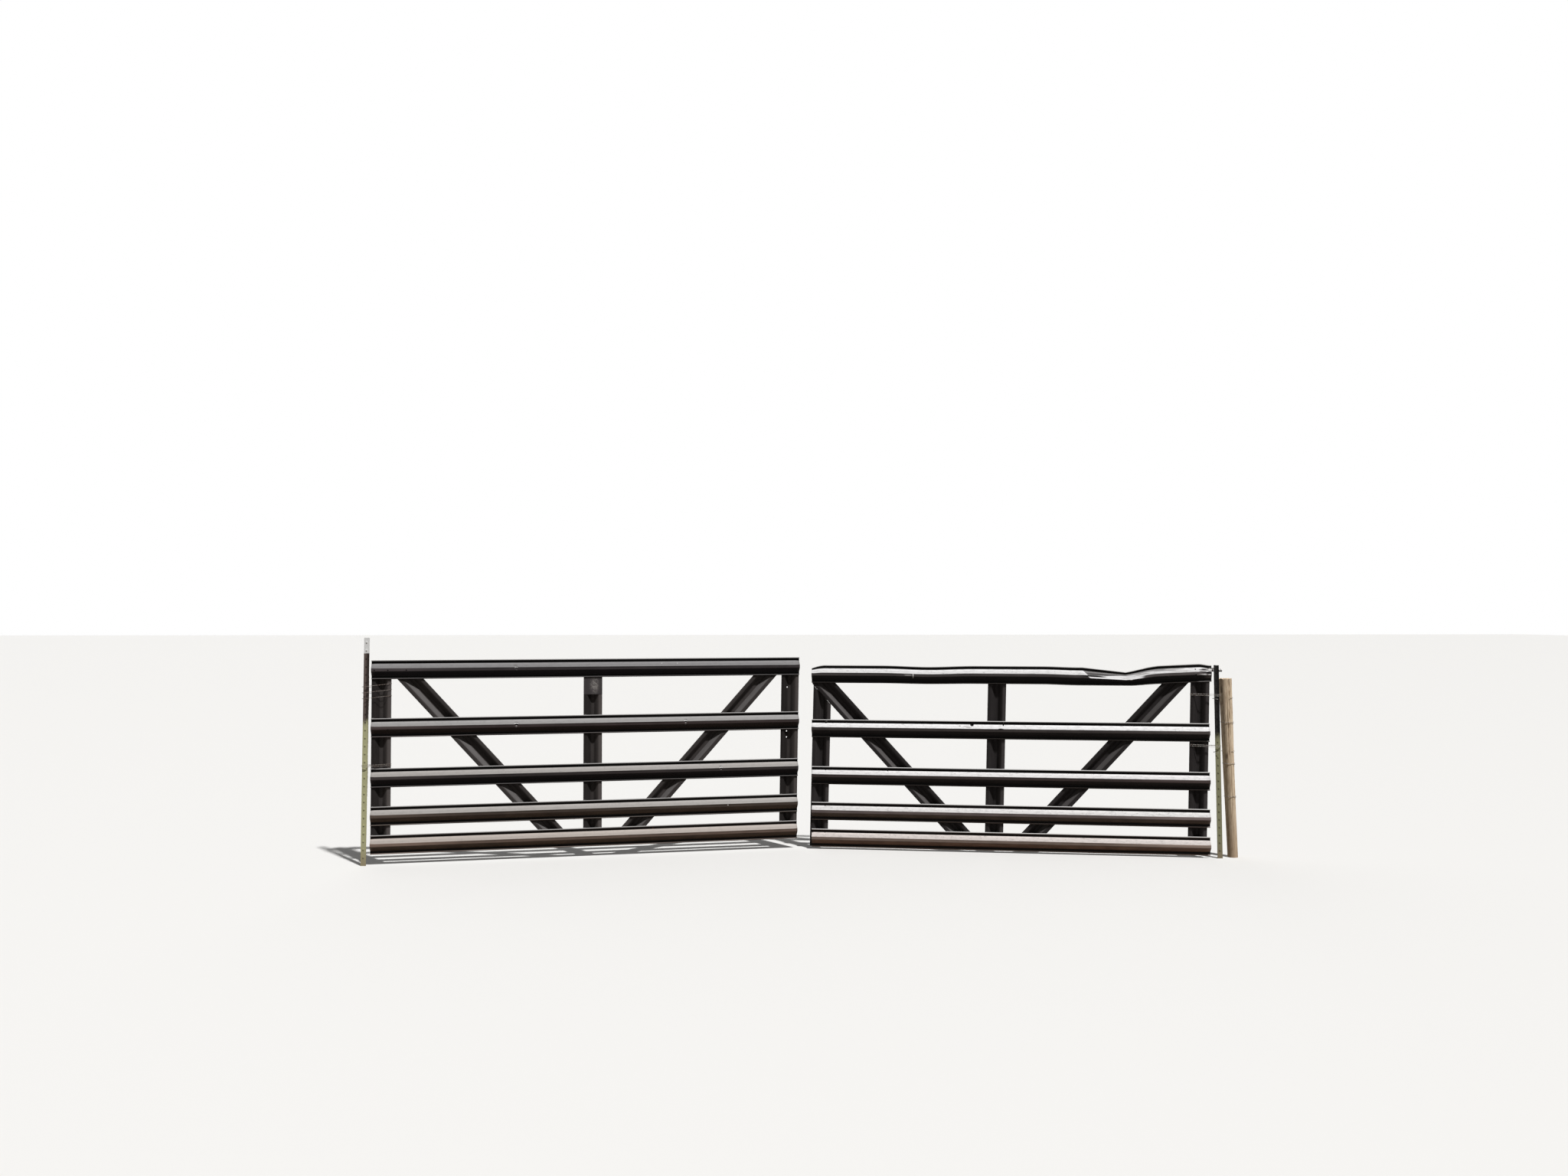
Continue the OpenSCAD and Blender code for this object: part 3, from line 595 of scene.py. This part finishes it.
off = (cup * (1 - 2 * smooth(7 * x - 4.6)) + 0.0007 * face) * smooth(9 * x)
wide = wide * (0.25 + 0.75 * smooth(x / 0.16))
ragged = 1.04 - 0.03 * np.clip(x - 0.85, 0, None) / 0.15 * (1 + np.sin(7 * across))
strip = skin("right_top_rail_torn_strip",
             leaf("right", right_hang + place * ragged + out_s * off, -(depth + out_d * off),
                  rail_z[0] + height + across * wide / 2),
             sheet=np.stack([x + 0 * across, across, face], -1))
torn_paint, start = finish("torn_strip_paint", Specular_IOR_Level=0.15, Roughness=0.55)
sheet = start.node("Attribute", out=1, attribute_name="sheet")
rough = sheet.times(6, 1.2, 0).grain(3, 4)
upper = sheet.part("Y") + 0.5 * (rough - 0.5)
# Upper half painted near white, a painted highlight on chalky dust, lower half dark as painted
# shade.
colour = upper.rise(-0.45, -0.15).between((0.20, 0.19, 0.19), (0.90, 0.88, 0.87))
feed(torn_paint, Base_Color=(rough.rise(0.55, 0.8) * 0.4).between(colour, (0.30, 0.28, 0.27)))
strip.data.materials.append(torn_paint)
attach(strip, "right_leaf")
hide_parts("right_top_rail")


# Right leaf's uprights and braces: they lean with the leaf, whose free upright was sawn out and
# welded back in under the brace, so its top follows the brace's edge.
right_foot, hinge_shift = 0.270, 0.008
right_middle = right_hang + leaf_long / 2 - right_trim
right_free = right_hang + right_long - member_half
right_hinge = right_hang + member_half + hinge_shift
right_slope = brace_slope(right_foot)
right_slope_chalk_and_highlight, right_haze = (0.15, 0.14, 0.138), (0.036, 0.032, 0.032)
right_frame_paint = sheet_paint("right_frame_paint", right_slope_chalk_and_highlight, right_haze, frame_underside_shade, specks=0.2)
right_upright_paint = sheet_paint("right_upright_paint", right_slope_chalk_and_highlight, right_haze, frame_underside_shade,
                                  specks=0.2, lit_flank=-1)
a = tilted(right_slope)[1]
under_brace = (-a[0], -a[1],
               -(a[0] * (right_middle + right_foot) + a[1] * foot_high) - weld_side)
for part, middle, extra in [("hinge", right_hinge, []), ("middle", right_middle, []),
                            ("free", right_free, [under_brace])]:
    along, across = tilted(-right_lean)
    upright = member(f"right_{part}_upright_sheet", "right", (middle, leaf_high / 2), along,
                     across, 1, level + extra, stops(leaf_high), seed=23 + middle)
    upright.data.materials.append(right_upright_paint)
    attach(upright, "right_leaf")
    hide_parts(f"right_{part}_upright")

lean = math.radians(-right_lean)
hinge_side = (-math.cos(lean), math.sin(lean),
              -(right_hinge * math.cos(lean) - leaf_high / 2 * math.sin(lean)) - weld_side)
for part, hand, limit in [("hinge", -1, [hinge_side, (1, 0, right_middle)]),
                          ("free", 1, [(-1, 0, -right_middle),
                                       (1, 0, right_hang + right_long - inset)])]:
    along, across = tilted(hand * right_slope)
    brace = member(f"right_{part}_brace_sheet", "right",
                   (right_middle + hand * right_foot, foot_high), along, across, 1,
                   brace_level + limit, stops(brace_long), seed=29 + hand)
    brace.data.materials.append(right_frame_paint)
    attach(brace, "right_leaf")
    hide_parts(f"right_{part}_brace")


# Bare plate: a flat piece of sheet over the open side of the left leaf's middle upright, under
# the top rail. Its paint is mottled and rubbed paler in the middle.
plate_high, plate_half = 0.122, 0.001
x = np.linspace(-1, 1, 33)
front = np.stack([x, -np.ones_like(x)], 1)
ring = np.concatenate([front, (front * [1, -1])[::-1]])
up = np.linspace(-1, 1, 31)[:, None] + 0 * ring[:, 0]
across, thick = ring[:, 0] + 0 * up, ring[:, 1] + 0 * up
slump = 0.0006 * np.sin(3 * across + 1) * np.sin(2.5 * up) * (thick < 0)
edge = np.maximum(abs(across), abs(up)) > 0.99
deep = -plate_half + thick * np.where(edge, 0.0004, plate_half) + abs(slump)
plate = skin("left_bare_plate_sheet",
             leaf("left", left_middle + across * member_half, deep,
                  rail_z[0] + (up - 1) * plate_high / 2),
             sheet=np.stack([across, up, thick], -1))
plate_paint, start = finish("bare_plate_paint", Specular_IOR_Level=0.3)
sheet = start.node("Attribute", out=1, attribute_name="sheet")
mottle = sheet.times(1, 1, 0).grain(3.2, 5, 0.65)
from_middle = start.node("VectorMath", {0: sheet.times(1.5, 0.7, 0), 1: (0.25, 0.05, 0)}, out=1,
                         operation="DISTANCE")
worn_off = from_middle.rise(0.9, 0.1) * mottle.rise(0.35, 0.62)
rubbed = sheet.times(6, 1.5, 0).grain(5, 4).rise(0.45, 0.7) * 0.4
colour = (worn_off + rubbed * from_middle.rise(1.2, 0.4)).between((0.050, 0.043, 0.045),
                                                              (0.30, 0.28, 0.265))
feed(plate_paint, Base_Color=colour, Roughness=0.42 + 0.25 * mottle)
plate.data.materials.append(plate_paint)
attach(plate, "left_leaf")
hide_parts("left_bare_plate")


# Welds: short lumpy runs where each rail's edge crosses the flat bands of the uprights and
# braces, laid by hand with a stick and painted over.
def welds(name, side, places, seed):
    """Lumps of 14 x 5 x 5 mm, each an ellipsoid over (ring, side), swollen or shrunk at random
    by an eighth at most, and set at its place (s, z) with its length along the rail."""
    random = np.random.default_rng(seed)
    places = np.array(places)
    f = np.linspace(0.08, 0.92, 9)[:, None] * math.pi
    a = np.arange(10)[None, :] * math.tau / 10
    ball = np.stack([-np.cos(f) + 0 * a, np.sin(f) * np.cos(a), np.sin(f) * np.sin(a)], -1)
    swell = 1 + 0.25 * (random.random((len(places), 9, 10)) - 0.5)
    size = np.array([0.007, 0.0025, 0.0024]) * (0.85 + 0.3 * random.random((len(places), 1)))
    lumps = ball[None] * swell[..., None] * size[:, None, None, :]
    s = places[:, 0, None, None] + lumps[..., 0]
    z = places[:, 1, None, None] + lumps[..., 2]
    return skin(name, leaf(side, s, -0.002 + np.minimum(lumps[..., 1], 0.0015), z),
                sheet=np.stack([lumps[..., 0], lumps[..., 2], 0 * s + seed], -1))


def crossings(members):
    """Places (s, z) where the rails' edges cross the flat bands of the members. A member is a
    row (s, z, slope, low, high): a point on it, its slope and the limits that s stays in."""
    found = []
    below, above, band_middle = -0.0005, 2 * member_half + 0.0005, 0.0535
    for s, z, slope, low, high in members:
        for k, rail in enumerate(rail_z):
            for edge in ([rail + below] if k < 4 else []) + ([rail + above] if k else []):
                for band in (-band_middle, band_middle):
                    at = s + (edge - z) * math.tan(math.radians(slope))
                    at += band / math.cos(math.radians(slope))
                    if low + 0.01 < at < high - 0.01:
                        found.append((at, edge))
    return found


half, crushed_to = leaf_high / 2, 0.95
for side, members, seed in [
    ("left", [(left_hinge, half, 0, 0, far), (left_middle, half, 0, 0, far),
              (left_free, half, left_lean, 0, far),
              (left_middle - left_foot, foot_high, -left_slope, left_hinge + weld_side,
               left_middle),
              (left_middle + left_foot, foot_high, left_slope, left_middle,
               left_free - weld_side)], 41),
    ("right", [(right_hinge, half, -right_lean, 0, far),
               (right_middle, half, -right_lean, 0, far),
               (right_free, half, -right_lean, 0, far),
               (right_middle - right_foot, foot_high, -right_slope, right_hinge + weld_side,
                right_middle),
               (right_middle + right_foot, foot_high, right_slope, right_middle,
                right_hang + right_long - inset)], 43),
]:
    places = crossings(members)
    if side == "right":
        places = [p for p in places if not (p[1] > rail_z[0] - 0.01 and p[0] < crushed_to)]
    seam = welds(f"{side}_leaf_welds", side, places, seed)
    seam.data.materials.append(left_frame_paint if side == "left" else right_frame_paint)
    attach(seam, f"{side}_leaf")


# Steel posts: rolled tees with a row of studs, dark above a border that wanders, the left one
# with a white tip, and faded green and grey below.
def post_paint(name, tip, dark_end, dark, pale, pale_side, foot, lean):
    """Colours in bands over the height, whose borders wander with the noise. The dark band is
    painted darker to the right of the post's middle line, which starts at the foot and leans, as
    painted shade on the face turned from the light, and lighter to its left as a painted lit face."""
    made, start = finish(name, Specular_IOR_Level=0.12)
    place = start.node("TexCoord", out=3)
    wander = place.times(60, 60, 5).grain(1, 4)
    height = place.part("Z") + 0.10 * (wander - 0.5)
    chips = place.times(150, 150, 45).grain(1, 4, 0.7)
    lower = (chips * 0.8 + 0.35 * wander).between(pale, pale_side)
    beside = place.part("X") - foot - place.part("Z") * math.tan(math.radians(lean))
    # Painted shade right of the middle line, a painted lit face left of it.
    deep = beside.rise(-0.004, 0.005).between(shade(dark, 1.3), shade(dark, 0.45))
    colour = height.rise(dark_end - 0.03, dark_end + 0.04).between(lower, deep)
    colour = (chips.rise(0.62, 0.72) * 0.5).between(colour, (0.30, 0.27, 0.22))
    edge = place.part("Z") + 0.012 * (wander - 0.5)
    colour = edge.rise(tip - 0.004, tip + 0.004).between(colour, (0.95, 0.95, 0.94))
    colour = (place.part("Z").rise(0.16, 0.0) * 0.6).between(colour, (0.33, 0.24, 0.17))
    bump = start.node("Bump", {"Height": chips, "Distance": 0.0005, "Strength": 0.6})
    feed(made, Base_Color=colour, Roughness=0.55 + 0.3 * chips, Normal=bump)
    return made


left_post_lean, right_post_lean, right_post_middle = 0.5, 0.7, 0.9625
right_post_foot = right_axis + right_post_middle * math.tan(math.radians(right_post_lean))
left_post_paint = post_paint("left_post_paint", tip=1.440, dark_end=0.97,
                             dark=(0.120, 0.092, 0.082), pale=(0.50, 0.49, 0.25),
                             pale_side=(0.62, 0.61, 0.38), foot=0.0, lean=left_post_lean)
right_post_paint = post_paint("right_post_paint", tip=2.0, dark_end=0.845,
                              dark=(0.019, 0.018, 0.017), pale=(0.24, 0.24, 0.135),
                              pale_side=(0.37, 0.355, 0.22), foot=right_post_foot,
                              lean=-right_post_lean)
for name, paint in [("left_t_post", left_post_paint), ("right_t_post", right_post_paint)]:
    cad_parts[name].data.materials.clear()
    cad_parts[name].data.materials.append(paint)


# Wood post: a peeled pole, thicker at the top, grey-tan and weathered. Long checks have opened
# in it, knots stand in its side and its sawn top has broken out in splinters.
pole_high, pole_off, pole_back = 1.258, 0.120, 0.034
pole_lean = math.tan(math.radians(2))


def pole_radius(z):
    """Radius at a height: 36 mm at the foot, and 10 mm more by the top."""
    return 0.036 + 0.010 * (z / pole_high) ** 1.6


def pole(name, rings=170, sides=84):
    """Round pole over (height, angle). The radius grows with the 1.6th power of the height and
    waves round the pole. Checks are narrow notches along a wandering angle, each over part of
    the height. The last rings close the top, whose height drops by ragged steps."""
    random = np.random.default_rng(12)
    a = np.arange(sides)[None, :] * math.tau / sides
    z = np.linspace(0, pole_high, rings)[:, None] + 0 * a
    ripple = 1 - 0.0175 * (1 + np.sin(3 * a + math.radians(310) * z))
    ripple -= 0.010 * (1 + np.sin(5 * a - math.radians(170) * z + 0.7))
    groove = 0 * z
    for k in range(22):
        middle, reach = random.uniform(0, 1.25), random.uniform(0.08, 0.42)
        angle = random.uniform(0, math.tau) + 0.10 * np.sin(7 * z + k) + 0.5 * (z - middle)
        away = abs((a - angle + math.pi) % math.tau - math.pi) * 0.04
        along = np.clip(1 - ((z - middle) / reach) ** 2, 0, 1)
        cut = np.exp(-(away / random.uniform(0.0012, 0.0024)) ** 2) * along ** 0.5
        groove = np.maximum(groove, cut * random.uniform(0.4, 1.0))
    fibre = 0.0004 * (1 + np.sin(29 * a + 9 * np.sin(3 * z)))
    radius = pole_radius(z) * ripple - 0.006 * groove - fibre - 0.0002
    jag = np.abs(np.sin(4 * a + 1)) * 0.006 + np.abs(np.sin(11 * a)) * 0.004 + 0.004 * groove[-1]
    z = z - np.clip((z - pole_high + 0.05) / 0.05, 0, 1) * jag
    lids = np.array([0.97, 0.8, 0.55, 0.3, 0.08])[:, None]
    radius = np.concatenate([radius, radius[-1:] * lids])
    sunk = 0.003 * (1 - lids) * (2 + np.sin(9 * a) + np.sin(5 * a + 2)) + 0.001
    z = np.concatenate([z, z[-1:] - sunk])
    groove = np.concatenate([groove, 0.3 + 0 * lids + 0 * a])
    x = right_axis + pole_off - z * pole_lean + radius * np.cos(a)
    y = pole_back + radius * np.sin(a)
    return skin(name, np.stack([x, y, z], -1),
                grain=np.stack([z, np.broadcast_to(a, z.shape), groove], -1))


post = pole("wood_post_pole")
weathered, start = finish("weathered_wood", Specular_IOR_Level=0.2)
grain = start.node("Attribute", out=1, attribute_name="grain")
place = start.node("TexCoord", out=3)
fibres = place.times(420, 420, 9).grain(1, 5, 0.65)
bands = place.times(60, 60, 4).grain(1, 4, 0.6)
colour = fibres.rise(0.3, 0.62).between((0.43, 0.28, 0.17), (0.98, 0.81, 0.59))
brown = place.times(30, 30, 11).grain(1, 5, 0.65)
colour = (brown.rise(0.52, 0.68) * 0.5).between(colour, (0.34, 0.21, 0.12))
colour = (bands.rise(0.45, 0.75) * 0.45).between(colour, (0.86, 0.69, 0.49))
colour = (place.part("Z").rise(0.5, 0.0) * 0.5).between(colour, (0.36, 0.22, 0.13))
# Checks painted near black: painted shade in the cracks.
colour = (grain.part("Z").rise(0.25, 0.9) * 0.8).between(colour, (0.030, 0.020, 0.014))
knots = start.node("TexVoronoi", {"Vector": place.times(16, 16, 5), "Scale": 1.0}, out=0)
colour = (knots.rise(0.20, 0.05) * 0.7).between(colour, (0.09, 0.055, 0.035))
bump = start.node("Bump", {"Height": fibres, "Distance": 0.0012, "Strength": 0.8})
feed(weathered, Base_Color=colour, Roughness=0.75 + 0.2 * fibres, Normal=bump)
post.data.materials.append(weathered)
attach(post, "posts")
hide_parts("wood_post")


# Wire ties: two strands of soft steel wire laid side by side and loosely twisted, wound round
# the hinge uprights and the posts by hand. Each runs where its plain CAD wire does.
def arc(at, radius, first, last, count):
    """Points on a circle between two angles in radians."""
    a = np.linspace(first, last, count)[:, None]
    return np.asarray(at) + radius * np.hstack([np.cos(a), np.sin(a)])


def pair(name, body, route, pitch=0.038, strand=0.00076, helix=0.00079):
    """Two round strands on a helix about a route, as a skin over (strand, station, side).
    Strand and helix are radii, and pitch is the length of one twist. Stations are 2.5 mm apart
    along the route, which the rings stand square to."""
    gaps = np.linalg.norm(np.diff(route, axis=0), axis=1)
    way = np.concatenate([[0], np.cumsum(gaps)])
    at = np.linspace(0, way[-1], int(way[-1] / 0.0025) + 2)
    line = np.stack([np.interp(at, way, route[:, k]) for k in range(3)], 1)
    ahead = np.gradient(line, axis=0)
    ahead /= np.linalg.norm(ahead, axis=1)[:, None]
    beside = np.cross(ahead, [0.05, 0.02, 1.0])
    beside /= np.linalg.norm(beside, axis=1)[:, None]
    above = np.cross(beside, ahead)
    turn = (math.tau * at / pitch + 0.5 * np.sin(31 * at))[None, :, None] + np.array(
        [0, math.pi])[:, None, None]
    middle = line + helix * (np.cos(turn) * beside + np.sin(turn) * above)
    a = (np.arange(6) * math.tau / 6)[:, None]
    grid = middle[:, :, None] + strand * (np.cos(a) * beside[:, None] + np.sin(a) * above[:, None])
    piece = skin(name, grid)
    piece.data.materials.append(wire_grey)
    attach(piece, body)
    return piece


wire_grey, start = finish("tie_wire", Metallic=0.35)
place = start.node("TexCoord", out=3)
rust = place.grain(120, 4)
dull = place.part("X").rise(2, 1).between((0.52, 0.50, 0.47), (0.26, 0.23, 0.21))
colour = rust.rise(0.45, 0.62).between(dull, (0.18, 0.12, 0.09))
feed(wire_grey, Base_Color=colour, Roughness=0.5 + 0.3 * rust)

wire_r, wrap_gap, eye_gap, tee_r = 0.00175, 0.0004, 0.003, 0.022533
wire_off = wire_r + wrap_gap
eye = tee_r + eye_gap + wire_r
for name, side, low, turns, rise in [("left_upper_tie", "left", 1.054, 3, 0.038),
                                     ("left_lower_tie", "left", 0.596, 2, 0.009),
                                     ("right_upper_tie", "right", 1.116, 2, 0.009),
                                     ("right_lower_tie", "right", 0.759, 2, 0.009)]:
    shift = hinge_shift + (leaf_high / 2 - low) * math.tan(math.radians(right_lean))
    near = left_hang if side == "left" else right_hang + shift
    bead = np.array([near + 2 * member_half - bead_wide / 2, bead_wide / 2])
    crown = np.array([near + member_half - crown_half, member_deep + wire_off])
    first = math.atan2(crown[1], crown[0]) + math.acos(eye / math.hypot(*crown))
    last = math.atan2(-wire_off, bead[0]) - math.acos(eye / math.hypot(bead[0], wire_off))
    loop = np.concatenate([arc((0, 0), eye, first, last + math.tau, 26),
                           arc(bead, bead_wide / 2 + wire_off, -math.pi / 2, math.pi / 4, 8),
                           arc((near + member_half + crown_half, member_deep), wire_off,
                               math.radians(55), math.pi / 2, 4), [crown]])
    way = np.tile(loop, (turns, 1))
    part = np.concatenate([[0], np.cumsum(np.linalg.norm(np.diff(way, axis=0), axis=1))])
    z = low + rise * turns * part / part[-1]
    tie = pair(f"{name}_strands", f"{side}_leaf", leaf(side, way[:, 0], way[:, 1], z))
    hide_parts(name)

for name, z in [("upper_post_tie", 1.120), ("lower_post_tie", 0.745)]:
    post_x = (right_post_middle - z) * math.tan(math.radians(right_post_lean))
    c = np.array([pole_off - z * pole_lean - post_x, pole_back])
    r2 = pole_radius(z) + wire_off
    base, wide = math.atan2(c[1], c[0]), math.acos((tee_r + wire_off - r2) / math.hypot(*c))
    loop = np.concatenate([arc(c, r2, base - wide, base + wide, 30),
                           arc((0, 0), tee_r + wire_off, base + wide, base + math.tau - wide, 20)])
    fall = np.linspace(z, z - 0.0085, len(loop))
    tie = pair(f"{name}_strands", "posts",
               np.column_stack([right_axis + post_x + loop[:, 0], loop[:, 1], fall]))
    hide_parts(name)

for k, z in enumerate((0.940, 0.650, 0.420)):
    way = arc((right_axis + pole_off - z * pole_lean, pole_back), pole_radius(z) + wire_off,
              math.radians(-60), math.radians(336), 90)
    way = np.column_stack([way, np.linspace(z, z + 0.011, 90)])
    tie = pair(f"post_wrap_strands_{k}", "posts", way)
    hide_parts("post_wraps")


# Loose wire: an end of the same wire that hangs down the left post's right edge, with two
# places where it was twisted up.
z = np.linspace(1.285, 0.470, 260)
knot = np.exp(-((z - 0.905) / 0.030) ** 2) + np.exp(-((z - 0.690) / 0.028) ** 2)
edge = z * math.tan(math.radians(left_post_lean)) + 0.0186
way = np.column_stack([edge + 0.0007 * np.sin(23 * z), -0.0118 + 0.0016 * np.sin(11 * z + 1), z])
way[:, :2] += (0.0011 * knot)[:, None] * np.column_stack([np.cos(900 * z), np.sin(900 * z)])
pair("left_post_loose_wire", "posts", way, pitch=0.060, strand=0.00075)


# Floor and light: a plain pale floor, darker to rays that light the piece, a soft lamp from the
# front right, a weak wide one from behind and an even white background.
ground = bpy.data.meshes.new("floor")
ground.from_pydata([(-60, -20, 0), (70, -20, 0), (70, 90, 0), (-60, 90, 0)], [], [(0, 1, 2, 3)])
floor = bpy.data.objects.new("floor", ground)
bpy.context.scene.collection.objects.link(floor)
pale, start = finish("pale_floor", Roughness=0.9)
path = start.node("LightPath", out=0)
seen = path.math("MAXIMUM", path, start.node("LightPath", out=3))
feed(pale, Base_Color=seen.between((0.14, 0.12, 0.10), (0.82, 0.81, 0.79)))
floor.data.materials.append(pale)

lamp = bpy.data.lights.new("sun", "SUN")
lamp.energy = 3.5
lamp.angle = math.radians(2.5)
sun = bpy.data.objects.new("sun", lamp)
turn, height = math.radians(38), math.radians(61)
to_sun = Vector((math.cos(height) * math.sin(turn), -math.cos(height) * math.cos(turn),
                 math.sin(height)))
sun.rotation_euler = to_sun.to_track_quat("Z", "Y").to_euler()
bpy.context.scene.collection.objects.link(sun)

back = bpy.data.lights.new("rear_fill", "SUN")
back.energy = 0.7
back.angle = math.radians(80)
rear = bpy.data.objects.new("rear_fill", back)
rear.rotation_euler = Vector((-0.45, 0.75, 0.35)).to_track_quat("Z", "Y").to_euler()
bpy.context.scene.collection.objects.link(rear)

world = bpy.data.worlds.new("sky")
bpy.context.scene.world = world
world.use_nodes = True
sky = Value(world.node_tree, world.node_tree.nodes["Background"].outputs[0])
seen = sky.node("LightPath", out=0)
strength = 0.08 + 0.92 * seen
world.node_tree.links.new(strength.socket, world.node_tree.nodes["Background"].inputs[1])
world.node_tree.nodes["Background"].inputs[0].default_value = (1, 1, 1, 1)
bpy.context.scene.view_settings.view_transform = "Standard"

# Camera: 8.1 m in front of the posts' line and 1.7 m up, turned a little to the right.
optics = bpy.data.cameras.new("camera")
optics.lens, optics.sensor_width = 27.035, 36
camera = bpy.data.objects.new("camera", optics)
camera.location = (2.512, -8.148, 1.705)
camera.rotation_euler = (math.radians(91.2835), 0, math.radians(-2.4185))
bpy.context.scene.collection.objects.link(camera)
bpy.context.scene.camera = camera
